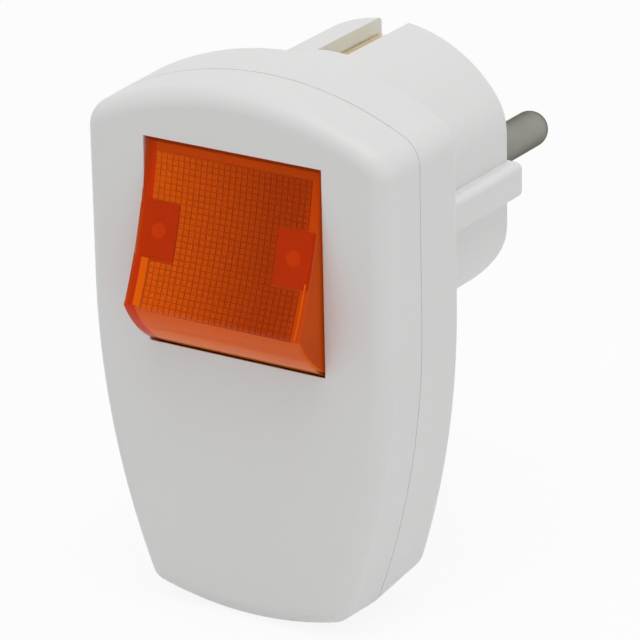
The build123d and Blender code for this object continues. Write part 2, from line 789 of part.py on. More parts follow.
def cord_clamp():
    """The saddle that two screws draw down on the cord's sheath."""
    half = clamp_screw_spacing / 2
    span = (clamp_z - clamp_height / 2, clamp_z + clamp_height / 2)
    top = inlet_y - clamp_thickness
    foot = inlet_y - seat_gap
    body = block((-half - clamp_ear, half + clamp_ear), (top, foot), span)
    body = fillet(body.edges().filter_by(Axis.Y), clamp_corner_radius)
    arch = rod(cord_radius + clamp_thickness, *span, y=inlet_y, along="Z")
    body += arch & block((-half, half), (inlet_y - 2 * cord_radius, foot), span)
    body -= rod(cord_radius, clamp_z - clamp_height, clamp_z + clamp_height, y=inlet_y, along="Z")
    for hand in (-1, 1):
        body -= rod(screw_radius + clear_hole_gap, top - overrun, inlet_y + overrun, x=hand * half, z=clamp_z)
    return body


# Writing the sub-parts

def screws():
    """Every group of screws, each at its own seat."""
    half = clamp_screw_spacing / 2
    lug_front = floor_y - lug_thickness
    frame_size = (frame_screw_radius, frame_head_radius, frame_head_height)
    return {
        "cover_screws": [
            Pos(place["x"], cover_seat_y, place["z"]) * Rot(0, 0, 180) * screw(cover_screw_length)
            for place in cover_screw_places()
        ],
        "frame_screws": [
            Pos(hand * frame_screw_x, lug_front, pivot_z)
            * screw(lug_thickness + frame_screw_reach, *frame_size)
            for hand in (-1, 1)
        ],
        "terminal_screws": [
            Pos(x, terminal_seat - terminal_depth, terminal_z) * screw(terminal_screw_length)
            for x in (-pin_x, 0, pin_x)
        ],
        "clamp_screws": [
            Pos(hand * half, inlet_y - clamp_thickness, clamp_z) * screw(clamp_thickness + clamp_screw_reach)
            for hand in (-1, 1)
        ],
        "retainer_screw": [Pos(0, retainer_back, 0) * screw(retainer_thickness + retainer_screw_reach)],
    }


os.makedirs("parts", exist_ok=True)
save("front_cover", front_cover())
save("rear_housing", rear_housing())
save("switch_frame", switch_frame())
save("rocker_cap", rocker_cap())
save("lamp_carrier", lamp_carrier())
save("glow_lamp", glow_lamp())
save("series_resistor", series_resistor())
save("lamp_leads", *lamp_leads())
save("pin_retainer", pin_retainer())
save("earth_strap", earth_strap())
save("earth_terminal", terminal(0))
save("cord_bush", cord_bush())
save("cord_clamp", cord_clamp())
for side, hand in (("left", -1), ("right", 1)):
    save(f"plunger_{side}", plunger(hand))
    save(f"plunger_spring_{side}", plunger_spring(hand))
    save(f"contact_blade_{side}", contact_blade(hand))
    save(f"pole_bracket_{side}", pole_bracket(hand))
    save(f"line_pin_{side}", line_pin(hand))
    save(f"load_contact_{side}", load_contact(hand))
    save(f"load_terminal_{side}", terminal(hand * pin_x))
for name, group in screws().items():
    save(name, *group)
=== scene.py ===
import json
import math

import bmesh
import bpy
from mathutils import Matrix, Quaternion, Vector


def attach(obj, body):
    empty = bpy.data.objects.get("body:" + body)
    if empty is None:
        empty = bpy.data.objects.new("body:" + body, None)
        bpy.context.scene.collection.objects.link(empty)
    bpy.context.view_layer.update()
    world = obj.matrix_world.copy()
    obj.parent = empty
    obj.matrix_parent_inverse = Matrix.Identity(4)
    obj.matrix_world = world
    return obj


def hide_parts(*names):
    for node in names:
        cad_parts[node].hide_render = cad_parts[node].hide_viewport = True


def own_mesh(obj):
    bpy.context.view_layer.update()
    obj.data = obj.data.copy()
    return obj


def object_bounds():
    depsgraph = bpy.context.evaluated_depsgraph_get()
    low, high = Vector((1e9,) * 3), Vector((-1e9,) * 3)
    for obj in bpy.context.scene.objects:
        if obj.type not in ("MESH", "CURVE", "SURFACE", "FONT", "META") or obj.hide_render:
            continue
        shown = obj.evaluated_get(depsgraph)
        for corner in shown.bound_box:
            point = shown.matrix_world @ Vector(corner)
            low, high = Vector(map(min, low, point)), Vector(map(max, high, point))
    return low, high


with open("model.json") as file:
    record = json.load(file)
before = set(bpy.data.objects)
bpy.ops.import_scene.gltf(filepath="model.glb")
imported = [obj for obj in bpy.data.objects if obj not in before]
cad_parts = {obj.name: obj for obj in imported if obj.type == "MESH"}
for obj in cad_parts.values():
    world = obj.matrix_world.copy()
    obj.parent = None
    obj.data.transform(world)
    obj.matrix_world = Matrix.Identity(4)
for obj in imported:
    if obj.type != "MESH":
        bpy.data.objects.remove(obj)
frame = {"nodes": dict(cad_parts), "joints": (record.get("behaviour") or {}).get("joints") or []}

nodes = frame["nodes"]
cad_box = [list(corner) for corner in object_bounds()]
scene = bpy.context.scene
scene.view_settings.view_transform = "Standard"
mm = 0.001


# Camera. A long lens a little above the plug and to the right of its switch, so that the rocker,
# the right flank, the top and the end of one pin are all in view.
camera_azimuth = math.radians(32.99)
camera_elevation = math.radians(21.59)
camera_roll = math.radians(-1.23)
camera_distance = 634.1 * mm
aim_right = -9.96 * mm
aim_up = -20.91 * mm
lens_length = 281.25
sight_from = 50 * mm
sight_to = 20000 * mm

look = Vector((
    -math.sin(camera_azimuth) * math.cos(camera_elevation),
    math.cos(camera_azimuth) * math.cos(camera_elevation),
    -math.sin(camera_elevation),
))
camera_turn = look.to_track_quat("-Z", "Y") @ Quaternion((0, 0, 1), camera_roll)
camera = bpy.data.objects.new("camera", bpy.data.cameras.new("camera"))
camera.data.lens = lens_length
camera.rotation_mode = "QUATERNION"
camera.rotation_quaternion = camera_turn
camera.location = camera_turn @ Vector((aim_right, aim_up, 0)) - look * camera_distance
camera.data.clip_start = sight_from
camera.data.clip_end = sight_to
scene.collection.objects.link(camera)
scene.camera = camera


# Case: the front cover and the rear housing with its drum. Both are press-moulded thermoset of a
# slightly cloudy white, with a satin skin that takes the fine spark grain of the mould. Light sinks
# a little way into it, which softens every edge.
case_white = (0.765, 0.767, 0.760)
case_roughness = 0.44
case_depth = 0.6 * mm
case_depth_share = 0.4
case_depth_tint = (1.0, 0.9, 0.8)
case_grain_size = 0.22 * mm
case_grain_depth = 0.006 * mm
case_cloud_size = 14 * mm
case_cloud_amount = 0.012
grain_detail = 3.0
grain_harshness = 0.6
cloud_detail = 4.0


def effect(name, inputs, output_type, output_name):
    """An empty shader node group with its sockets, and its inlet and outlet."""
    group = bpy.data.node_groups.new(name, "ShaderNodeTree")
    for label, kind, value in inputs:
        socket = group.interface.new_socket(label, in_out="INPUT", socket_type=kind)
        socket.default_value = value
    group.interface.new_socket(output_name, in_out="OUTPUT", socket_type=output_type)
    return group, group.nodes.new("NodeGroupInput"), group.nodes.new("NodeGroupOutput")


def make_grain():
    """Fine pits and crests, as spark erosion leaves them in a mould or a blast in metal."""
    group, inlet, outlet = effect(
        "fine_grain",
        [
            ("Size", "NodeSocketFloat", case_grain_size),
            ("Depth", "NodeSocketFloat", case_grain_depth),
        ],
        "NodeSocketVector", "Normal",
    )
    place = group.nodes.new("ShaderNodeTexCoord")
    fineness = group.nodes.new("ShaderNodeMath")
    fineness.operation = "DIVIDE"
    fineness.inputs[0].default_value = 1.0
    speckle = group.nodes.new("ShaderNodeTexNoise")
    speckle.inputs["Detail"].default_value = grain_detail
    speckle.inputs["Roughness"].default_value = grain_harshness
    bump = group.nodes.new("ShaderNodeBump")
    bump.inputs["Strength"].default_value = 1.0
    join = group.links.new
    join(inlet.outputs["Size"], fineness.inputs[1])
    join(place.outputs["Object"], speckle.inputs["Vector"])
    join(fineness.outputs[0], speckle.inputs["Scale"])
    join(speckle.outputs["Fac"], bump.inputs["Height"])
    join(inlet.outputs["Depth"], bump.inputs["Distance"])
    join(bump.outputs["Normal"], outlet.inputs["Normal"])
    return group


def make_cloud():
    """A slow drift of a colour to a little lighter and a little darker."""
    group, inlet, outlet = effect(
        "cloudy_colour",
        [
            ("Color", "NodeSocketColor", (*case_white, 1)),
            ("Size", "NodeSocketFloat", case_cloud_size),
            ("Amount", "NodeSocketFloat", case_cloud_amount),
        ],
        "NodeSocketColor", "Color",
    )
    place = group.nodes.new("ShaderNodeTexCoord")
    fineness = group.nodes.new("ShaderNodeMath")
    fineness.operation = "DIVIDE"
    fineness.inputs[0].default_value = 1.0
    drift = group.nodes.new("ShaderNodeTexNoise")
    drift.inputs["Detail"].default_value = cloud_detail
    swing = group.nodes.new("ShaderNodeMapRange")
    swing.inputs["To Min"].default_value = -1.0
    centred = group.nodes.new("ShaderNodeMath")
    centred.operation = "MULTIPLY_ADD"
    centred.inputs[2].default_value = 1.0
    tint = group.nodes.new("ShaderNodeVectorMath")
    tint.operation = "SCALE"
    join = group.links.new
    join(inlet.outputs["Size"], fineness.inputs[1])
    join(place.outputs["Object"], drift.inputs["Vector"])
    join(fineness.outputs[0], drift.inputs["Scale"])
    join(drift.outputs["Fac"], swing.inputs["Value"])
    join(swing.outputs["Result"], centred.inputs[0])
    join(inlet.outputs["Amount"], centred.inputs[1])
    join(inlet.outputs["Color"], tint.inputs[0])
    join(centred.outputs[0], tint.inputs["Scale"])
    join(tint.outputs["Vector"], outlet.inputs["Color"])
    return group


fine_grain = make_grain()
cloudy_colour = make_cloud()


def shader_inputs(material):
    """The inputs of a material's own shader."""
    return material.node_tree.nodes["Principled BSDF"].inputs


def finish(name, colour, roughness, cloud, metallic=0.0, grain=None):
    """Makes a material. A cloud is its size and amount, and a grain, if any, its size and depth."""
    material = bpy.data.materials.new(name)
    material.use_nodes = True
    tree = material.node_tree
    inputs = shader_inputs(material)
    inputs["Roughness"].default_value = roughness
    inputs["Metallic"].default_value = metallic
    colouring = tree.nodes.new("ShaderNodeGroup")
    colouring.node_tree = cloudy_colour
    colouring.inputs["Color"].default_value = (*colour, 1)
    colouring.inputs["Size"].default_value = cloud[0]
    colouring.inputs["Amount"].default_value = cloud[1]
    tree.links.new(colouring.outputs["Color"], inputs["Base Color"])
    if grain:
        relief = tree.nodes.new("ShaderNodeGroup")
        relief.node_tree = fine_grain
        relief.inputs["Size"].default_value = grain[0]
        relief.inputs["Depth"].default_value = grain[1]
        tree.links.new(relief.outputs["Normal"], inputs["Normal"])
    return material


def dress(node_names, material):
    """Gives carried-over pieces their finish."""
    for node_name in node_names:
        for slot in nodes[node_name].material_slots:
            slot.material = material


white_thermoset = finish(
    "white_thermoset", case_white, case_roughness,
    cloud=(case_cloud_size, case_cloud_amount), grain=(case_grain_size, case_grain_depth),
)
white_inputs = shader_inputs(white_thermoset)
white_inputs["Subsurface Weight"].default_value = case_depth_share
white_inputs["Subsurface Radius"].default_value = case_depth_tint
white_inputs["Subsurface Scale"].default_value = case_depth
dress(["front_cover", "rear_housing"], white_thermoset)


# Rocker cap: one see-through amber polycarbonate moulding, polished outside. What shows inside its
# clear skin, the clouded resin, the prisms and the bosses, follows as pieces of their own.
amber_orange = (1.0, 0.135, 0.012)
amber_roughness = 0.06
amber_clearness = 0.80
amber_ior = 1.18
amber_shine = 0.1
amber_shine_tint = (1.0, 0.42, 0.12)
amber_cloud = (6 * mm, 0.04)

amber = finish("amber_polycarbonate", amber_orange, amber_roughness, amber_cloud)
amber_inputs = shader_inputs(amber)
amber_inputs["Transmission Weight"].default_value = amber_clearness
amber_inputs["IOR"].default_value = amber_ior
amber_inputs["Specular IOR Level"].default_value = amber_shine
amber_inputs["Specular Tint"].default_value = (*amber_shine_tint, 1)
dress(["rocker_cap"], amber)


# Resin depth: the amber is clouded through its wall, so a thin layer shows under the clear skin all
# round. It is orange in front, red along the left side, amber and then paler on the underside, and
# brown on the two flat sides. Light is painted into it: the paler underside is painted light, and
# every tone gives off a weak painted glow, strongest on the flat sides, where it lifts the shade of
# the window.
rocker_joint = next(joint for joint in frame["joints"] if joint["name"] == "rocker_tilt")
pivot = Vector(rocker_joint["pos_m"])
rocker_tilt = math.radians(-16.8)
rocker_radius = 15.3 * mm
rocker_half_width = 12.55 * mm
hollow_centre = -76.95 * mm
hollow_radius = 66.27 * mm
depth_inset = 1.15 * mm
depth_end_inset = 0.45 * mm
depth_side_inset = 0.13 * mm
depth_thickness = 0.15 * mm
depth_sides = 96
depth_slices = 12
skirt_behind = 0.3 * mm
painted_light_height = -12.8 * mm
red_side = -11.3 * mm
faces_sideways = 0.5
flat_tolerance = 0.001 * mm
resin_roughness = 0.5
resin_cloud = (4 * mm, 0.07)
resin_colours = {
    "orange": (0.62, 0.34, 0.08), "red": (0.54, 0.04, 0.05), "brown": (0.42, 0.24, 0.04),
    "amber": (0.74, 0.74, 0.10), "pale": (0.76, 0.90, 0.20),
}
# The glow of each tone is painted light: the layer gives off light though nothing there is a lamp.
resin_painted_glows = {"orange": 0.04, "red": 0.06, "brown": 0.22, "amber": 0.05, "pale": 0.12}
resin_slots = list(resin_colours)


def in_rocker(shape):
    """Puts a shape drawn about the rocker's pivot where the rocker lies."""
    bmesh.ops.rotate(shape, matrix=Matrix.Rotation(rocker_tilt, 3, "X"), verts=shape.verts)
    bmesh.ops.translate(shape, vec=pivot, verts=shape.verts)
    return shape


def piece(name, shape, materials, body):
    """Makes a finished shape into a piece that rides on its body."""
    mesh = bpy.data.meshes.new(name)
    shape.to_mesh(mesh)
    shape.free()
    made = bpy.data.objects.new(name, mesh)
    for material in materials:
        made.data.materials.append(material)
    scene.collection.objects.link(made)
    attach(made, body)
    return made


def front_at(height, inset):
    """How far ahead of the pivot the cap's hollow front lies, at an inset from its skin."""
    return hollow_centre + math.sqrt((hollow_radius + inset)**2 - height**2)


def cut(shape, place, normal, clear=False):
    """Cuts the whole shape with a plane, and, when asked to clear, takes away what lies beyond it.
    """
    everything = shape.verts[:] + shape.edges[:] + shape.faces[:]
    bmesh.ops.bisect_plane(
        shape, geom=everything, plane_co=place, plane_no=normal, clear_outer=clear
    )


def resin_depth_shape():
    """A drum along X, opened at the back and hollowed at the front, with a thin wall."""
    radius = rocker_radius - depth_end_inset
    reach = hollow_radius + depth_inset
    chord = (reach**2 - radius**2 - hollow_centre**2) / (2 * hollow_centre)
    half_height = math.sqrt(radius**2 - chord**2)
    shape = bmesh.new()
    bmesh.ops.create_cone(
        shape, cap_ends=True, segments=depth_sides, radius1=radius, radius2=radius,
        depth=2 * (rocker_half_width - depth_side_inset),
    )
    bmesh.ops.rotate(shape, matrix=Matrix.Rotation(math.radians(90), 3, "Y"), verts=shape.verts)
    cut(shape, (0, -chord, 0), (0, -1, 0), clear=True)
    rim = [edge for edge in shape.edges if edge.is_boundary]
    bmesh.ops.holes_fill(shape, edges=rim)
    cut(shape, (0, skirt_behind, 0), (0, 1, 0), clear=True)
    for step in range(1, depth_slices):
        cut(shape, (0, 0, half_height * (2 * step / depth_slices - 1)), (0, 0, 1))
    cut(shape, (red_side, 0, 0), (1, 0, 0))
    for vertex in shape.verts:
        if abs(vertex.co.y + chord) < flat_tolerance:
            vertex.co.y = front_at(vertex.co.z, depth_inset)
    bmesh.ops.recalc_face_normals(shape, faces=shape.faces)
    for face in shape.faces:
        middle = face.calc_center_median()
        face.smooth = True
        # The underside turns amber and then pale toward the bottom: this lightening is painted
        # light.
        tone = "orange"
        if abs(face.normal.x) > faces_sideways:
            tone = "brown"
        elif middle.x < red_side:
            tone = "red"
        elif middle.z < painted_light_height:
            tone = "pale"
        elif middle.z < -half_height:
            tone = "amber"
        face.material_index = resin_slots.index(tone)
    bmesh.ops.solidify(shape, geom=shape.faces[:], thickness=depth_thickness)
    return shape


def paint_glow(material, colour, strength):
    """Paints light into a finish as a weak glow, though nothing there is a lamp."""
    inputs = shader_inputs(material)
    inputs["Emission Color"].default_value = (*colour, 1)
    inputs["Emission Strength"].default_value = strength


resin_layers = []
for tone, colour in resin_colours.items():
    layer = finish(f"resin_{tone}", colour, resin_roughness, resin_cloud)
    paint_glow(layer, colour, resin_painted_glows[tone])
    resin_layers.append(layer)
piece("resin_depth", in_rocker(resin_depth_shape()), resin_layers, "rocker")


# Prisms: rows of small pyramids on the back of the rocker's front wall that spread the lamp's light,
# with a groove between each row and the next. They leave the two bosses out. Shade is painted on
# them: the grooves are painted darker than the pyramids, and both go from a lit colour at the left
# to a painted shade toward the right.
prism_inset = 0.93 * mm
prism_span_x = (-11.2 * mm, 11.3 * mm)
prism_span_z = (-10.6 * mm, 8.9 * mm)
prism_columns = 27
prism_rows = 26
prism_height = 0.30 * mm
groove_width = 0.11 * mm
groove_depth = 0.12 * mm
boss_inner = 7.15 * mm
boss_middle = -0.8 * mm
boss_half_height = 3.5 * mm
pad_narrowing = 0.88
shade_end = 6.8 * mm
# A lit and a shaded colour of one finish; the shade between them is painted.
prism_lit = (0.84, 1.0, 0.20)
prism_shaded = (0.42, 0.16, 0.06)
prism_roughness = 0.3
prism_cloud = (5 * mm, 0.05)
# The grooves are painted darker than the pyramids, as painted shade in their recesses.
groove_lit = (0.66, 0.46, 0.08)
groove_shaded = (0.18, 0.05, 0.02)
groove_roughness = 0.5
groove_cloud = (5 * mm, 0.03)
prism_slot = 0
groove_slot = 1
to_front = Matrix.Rotation(math.radians(90), 3, "X")


def front_sheet(x_span, z_span, columns, rows):
    """A flat sheet that faces the front, between two sides and two heights."""
    shape = bmesh.new()
    bmesh.ops.create_grid(shape, x_segments=columns, y_segments=rows, size=0.5)
    bmesh.ops.rotate(shape, matrix=to_front, verts=shape.verts)
    for vertex in shape.verts:
        vertex.co.x = sum(x_span) / 2 + vertex.co.x * (x_span[1] - x_span[0])
        vertex.co.z = sum(z_span) / 2 + vertex.co.z * (z_span[1] - z_span[0])
    return shape


def bend_to_front(shape, inset):
    """Lays a flat sheet along the cap's hollow front, at an inset from its skin."""
    for vertex in shape.verts:
        vertex.co.y = front_at(vertex.co.z, inset)


def prism_rows_shape():
    """A curved sheet of pads parted by grooves, with a pyramid poked out of each pad."""
    shape = front_sheet(prism_span_x, prism_span_z, prism_columns, prism_rows)
    covered = [
        face for face in shape.faces
        if abs(face.calc_center_median().x) > boss_inner
        and abs(face.calc_center_median().z - boss_middle) < boss_half_height
    ]
    bmesh.ops.delete(shape, geom=covered, context="FACES")
    bend_to_front(shape, prism_inset)
    bmesh.ops.recalc_face_normals(shape, faces=shape.faces)
    if sum(face.normal.y for face in shape.faces) > 0:
        bmesh.ops.reverse_faces(shape, faces=shape.faces)
    pads = list(shape.faces)
    grooves = bmesh.ops.inset_individual(
        shape, faces=pads, thickness=groove_width / 2, depth=groove_depth
    )
    for face in grooves["faces"]:
        face.material_index = groove_slot
    for face in pads:
        about = Matrix.Translation(-face.calc_center_median())
        bmesh.ops.scale(shape, vec=(pad_narrowing, 1, 1), space=about, verts=face.verts)
    peaks = bmesh.ops.poke(shape, faces=pads, offset=prism_height)
    for face in peaks["faces"]:
        face.material_index = prism_slot
    return in_rocker(shape)


def shade_across(material, lit, shaded):
    """Paints shade across a finish: its lit colour at the prisms' left goes over to a shaded colour
    toward their right.
    """
    tree = material.node_tree
    place = tree.nodes.new("ShaderNodeTexCoord")
    axes = tree.nodes.new("ShaderNodeSeparateXYZ")
    share = tree.nodes.new("ShaderNodeMapRange")
    share.inputs["From Min"].default_value = prism_span_x[0]
    share.inputs["From Max"].default_value = shade_end
    fade = tree.nodes.new("ShaderNodeMix")
    fade.data_type = "RGBA"
    fade.inputs["A"].default_value = (*lit, 1)
    fade.inputs["B"].default_value = (*shaded, 1)
    cloud = next(node for node in tree.nodes if node.type == "GROUP")
    tree.links.new(place.outputs["Object"], axes.inputs[0])
    tree.links.new(axes.outputs["X"], share.inputs["Value"])
    tree.links.new(share.outputs["Result"], fade.inputs["Factor"])
    tree.links.new(fade.outputs["Result"], cloud.inputs["Color"])


prism_light = finish("prism_light", prism_lit, prism_roughness, prism_cloud)
shade_across(prism_light, prism_lit, prism_shaded)
prism_groove = finish("prism_groove", groove_lit, groove_roughness, groove_cloud)
shade_across(prism_groove, groove_lit, groove_shaded)
piece("prism_rows", prism_rows_shape(), [prism_light, prism_groove], "rocker")


# Boss cores: in the two thick bosses the resin looks a deep red, with the end of each bore as a
# paler disc.
core_red = (0.44, 0.01, 0.05)
core_cloud = (4 * mm, 0.04)
disc_red = (0.58, 0.15, 0.05)
disc_cloud = (2 * mm, 0.04)
boss_roughness = 0.4
core_inset = 0.85 * mm
core_thickness = 0.5 * mm
core_outer = 12.0 * mm
disc_radius = 1.0 * mm
disc_stand = 0.06 * mm
disc_sides = 40
disc_edge = 0.03 * mm
bore_x = 9.75 * mm
hands = {"left": -1, "right": 1}


def front_strip(x_span, z_span, inset, thickness):
    """A strip of the cap's hollow front between two sides and two heights."""
    shape = front_sheet(x_span, z_span, 1, depth_slices)
    bend_to_front(shape, inset)
    swept = bmesh.ops.extrude_face_region(shape, geom=shape.faces[:])
    moved = [item for item in swept["geom"] if isinstance(item, bmesh.types.BMVert)]
    bmesh.ops.translate(shape, vec=(0, thickness, 0), verts=moved)
    bmesh.ops.recalc_face_normals(shape, faces=shape.faces)
    return shape


def rounded(shape, radius):
    """Rounds every edge of a shape."""
    bmesh.ops.bevel(
        shape, geom=shape.edges[:], offset=radius, segments=2, profile=0.5,
        affect="EDGES", material=-1,
    )
    return shape


def disc_shape(hand):
    """A thin round disc that lies on a boss."""
    shape = bmesh.new()
    bmesh.ops.create_cone(
        shape, cap_ends=True, segments=disc_sides, radius1=disc_radius, radius2=disc_radius,
        depth=2 * disc_stand,
    )
    bmesh.ops.rotate(shape, matrix=to_front, verts=shape.verts)
    place = (hand * bore_x, front_at(boss_middle, core_inset), boss_middle)
    bmesh.ops.translate(shape, vec=place, verts=shape.verts)
    return shape


boss_red = finish("boss_red", core_red, boss_roughness, core_cloud)
bore_end_red = finish("bore_end_red", disc_red, boss_roughness, disc_cloud)
boss_heights = (boss_middle - boss_half_height, boss_middle + boss_half_height)
for side, hand in hands.items():
    boss_sides = sorted((hand * boss_inner, hand * core_outer))
    core = in_rocker(front_strip(boss_sides, boss_heights, core_inset, core_thickness))
    piece(f"boss_core_{side}", core, [boss_red], "rocker")
    disc = in_rocker(rounded(disc_shape(hand), disc_edge))
    piece(f"bore_end_{side}", disc, [bore_end_red], "rocker")


# Edge light: the right edge of the cap's front gathers light in the resin and shows as a bright
# line, and so does the foot of its left side; both lines are painted highlights, thin strips of a
# bright colour with a weak painted glow. Its top edge lies in the shade of the window, painted as a
# dark strip of shade.
painted_highlight_orange = (0.80, 0.95, 0.12)
glow_strength = 0.03
edge_roughness = 0.4
edge_cloud = (3 * mm, 0.10)
line_width = 0.12 * mm
line_inset = 0.30 * mm
line_side_inset = 0.35 * mm
line_top = -3.5 * mm
foot_span = (-11.4 * mm, -10.4 * mm)
foot_inset = 0.5 * mm
glow_bottom = -10.2 * mm
shade_red = (0.16, 0.01, 0.01)
shade_span = (10.0 * mm, 10.22 * mm)

# Thin strips of a bright colour with a weak glow: painted highlights.
painted_edge_glow = finish("painted_edge_glow", painted_highlight_orange, edge_roughness, edge_cloud)
paint_glow(painted_edge_glow, painted_highlight_orange, glow_strength)
line_x = rocker_half_width - line_side_inset
line = front_strip((line_x - line_width, line_x), (glow_bottom, line_top), line_inset, line_width)
piece("painted_highlight_right", in_rocker(line), [painted_edge_glow], "rocker")
foot = front_strip(foot_span, (glow_bottom, boss_heights[0]), foot_inset, line_width)
piece("painted_highlight_foot", in_rocker(foot), [painted_edge_glow], "rocker")
# A dark strip along the top edge of the cap, which is painted shade.
edge_shade = finish("edge_shade", shade_red, edge_roughness, edge_cloud)
shade = front_strip((-line_x, line_x), shade_span, line_inset, line_width)
piece("edge_shade_top", in_rocker(shade), [edge_shade], "rocker")


# Pins: solid brass rod, turned and rounded at the tip, then nickel plated to a soft grey shine.
# The turning marks run round each pin.
nickel_grey = (0.31, 0.31, 0.28)
nickel_edge = (0.30, 0.30, 0.28)
nickel_roughness = 0.33
nickel_cloud = (3 * mm, 0.16)
turning_pitch = 0.35 * mm
turning_depth = 0.004 * mm
turning_waver = 1.5
turning_detail = 3.0
pitch_at_scale_one = 0.314

nickel = finish("turned_nickel", nickel_grey, nickel_roughness, nickel_cloud, metallic=1.0)
nickel_inputs = shader_inputs(nickel)
nickel_inputs["Specular Tint"].default_value = (*nickel_edge, 1)
nickel_tree = nickel.node_tree
turning = nickel_tree.nodes.new("ShaderNodeTexWave")
turning.bands_direction = "Y"
turning.inputs["Scale"].default_value = pitch_at_scale_one / turning_pitch
turning.inputs["Distortion"].default_value = turning_waver
turning.inputs["Detail"].default_value = turning_detail
turning_place = nickel_tree.nodes.new("ShaderNodeTexCoord")
turning_bump = nickel_tree.nodes.new("ShaderNodeBump")
turning_bump.inputs["Distance"].default_value = turning_depth
nickel_tree.links.new(turning_place.outputs["Object"], turning.inputs["Vector"])
nickel_tree.links.new(turning.outputs["Fac"], turning_bump.inputs["Height"])
nickel_tree.links.new(turning_bump.outputs["Normal"], nickel_inputs["Normal"])
dress([f"line_pin_{side}" for side in hands], nickel)


# Earth strap and the strips of the current path: rolled brass, stamped and bent. The terminals are
# turned from brass rod, and the see-saw contact blades are a redder copper alloy.
strip_yellow = (0.93, 0.80, 0.50)
strip_roughness = 0.28
strip_cloud = (2 * mm, 0.06)
strip_grain = (0.15 * mm, 0.002 * mm)
terminal_yellow = (0.77, 0.60, 0.31)
terminal_roughness = 0.25
terminal_cloud = (3 * mm, 0.05)
terminal_grain = (0.3 * mm, 0.003 * mm)
blade_red = (0.80, 0.46, 0.27)
blade_roughness = 0.30
blade_cloud = (2 * mm, 0.08)
blade_grain = (0.2 * mm, 0.002 * mm)

rolled_brass = finish(
    "rolled_brass", strip_yellow, strip_roughness, strip_cloud, metallic=1.0, grain=strip_grain
)
turned_brass = finish(
    "turned_brass", terminal_yellow, terminal_roughness, terminal_cloud,
    metallic=1.0, grain=terminal_grain,
)
contact_copper = finish(
    "contact_copper", blade_red, blade_roughness, blade_cloud, metallic=1.0, grain=blade_grain
)
brackets = [f"pole_bracket_{side}" for side in hands]
contacts = [f"load_contact_{side}" for side in hands]
dress(["earth_strap", *brackets, *contacts], rolled_brass)
terminals = ["earth_terminal", *(f"load_terminal_{side}" for side in hands)]
dress(terminals, turned_brass)
dress([f"contact_blade_{side}" for side in hands], contact_copper)


# Inner plastics: the switch frame, the cord clamp and the lamp's carrier are moulded in natural
# nylon and the plungers in acetal. The pin retainer is cut from brown laminated board, and the
# cord's bush is soft vinyl.
nylon_cream = (0.62, 0.60, 0.54)
nylon_roughness = 0.5
nylon_cloud = (5 * mm, 0.04)
nylon_grain = (0.3 * mm, 0.006 * mm)
acetal_white = (0.74, 0.72, 0.66)
acetal_roughness = 0.32
acetal_cloud = (3 * mm, 0.03)
acetal_grain = (0.2 * mm, 0.002 * mm)
board_brown = (0.26, 0.12, 0.045)
board_roughness = 0.55
board_cloud = (1.2 * mm, 0.25)
board_grain = (0.4 * mm, 0.015 * mm)
vinyl_white = (0.70, 0.70, 0.69)
vinyl_roughness = 0.6
vinyl_cloud = (4 * mm, 0.03)
vinyl_grain = (0.3 * mm, 0.01 * mm)

natural_nylon = finish("natural_nylon", nylon_cream, nylon_roughness, nylon_cloud, grain=nylon_grain)
acetal = finish("acetal", acetal_white, acetal_roughness, acetal_cloud, grain=acetal_grain)
laminate = finish("laminated_board", board_brown, board_roughness, board_cloud, grain=board_grain)
soft_vinyl = finish("soft_vinyl", vinyl_white, vinyl_roughness, vinyl_cloud, grain=vinyl_grain)
dress(["switch_frame", "cord_clamp", "lamp_carrier"], natural_nylon)
dress([f"plunger_{side}" for side in hands], acetal)
dress(["pin_retainer"], laminate)
dress(["cord_bush"], soft_vinyl)


# Light: a small neon lamp of clear glass stands inside the rocker, with the lacquered resistor that
# it needs and bare tinned leads.
glass_rose = (0.96, 0.80, 0.70)
glass_roughness = 0.03
glass_clearness = 0.9
glass_cloud = (2 * mm, 0.02)
lacquer_tan = (0.66, 0.50, 0.28)
tin_grey = (0.68, 0.67, 0.64)
lead_roughness = 0.3
lead_cloud = (1 * mm, 0.08)

neon_glass = finish("neon_glass", glass_rose, glass_roughness, glass_cloud)
shader_inputs(neon_glass)["Transmission Weight"].default_value = glass_clearness
lacquer = finish("resistor_lacquer", lacquer_tan, lead_roughness, lead_cloud)
tinned_wire = finish("tinned_wire", tin_grey, lead_roughness, lead_cloud, metallic=1.0)
dress(["glow_lamp"], neon_glass)
dress(["series_resistor"], lacquer)
dress(["lamp_leads"], tinned_wire)


# Screws: zinc-plated steel with a driver's slot. They hold the two halves of the case, the switch
# frame, the wires, the cord's clamp and the pins' retainer.
zinc_grey = (0.66, 0.67, 0.68)
zinc_roughness = 0.32
zinc_cloud = (1.5 * mm, 0.08)
zinc_grain = (0.2 * mm, 0.003 * mm)

zinc_plate = finish(
    "zinc_plate", zinc_grey, zinc_roughness, zinc_cloud, metallic=1.0, grain=zinc_grain
)
dress(
    ["cover_screws", "frame_screws", "terminal_screws", "clamp_screws", "retainer_screw"],
    zinc_plate,
)


# Plunger springs: a coil of plain spring wire at the bottom of each boss's bore, which in the real
# plug shortens as its plunger is pushed in; this coil keeps one length.
coil_low = -7.41 * mm
coil_high = -1.33 * mm
coil_turns = 6.8
coil_radius = 1.045 * mm
coil_x = 9.5 * mm
coil_steps = 24
wire_radius = 0.17 * mm
wire_sides = 10
wire_grey = (0.50, 0.50, 0.52)
wire_roughness = 0.3
wire_cloud = (1 * mm, 0.06)


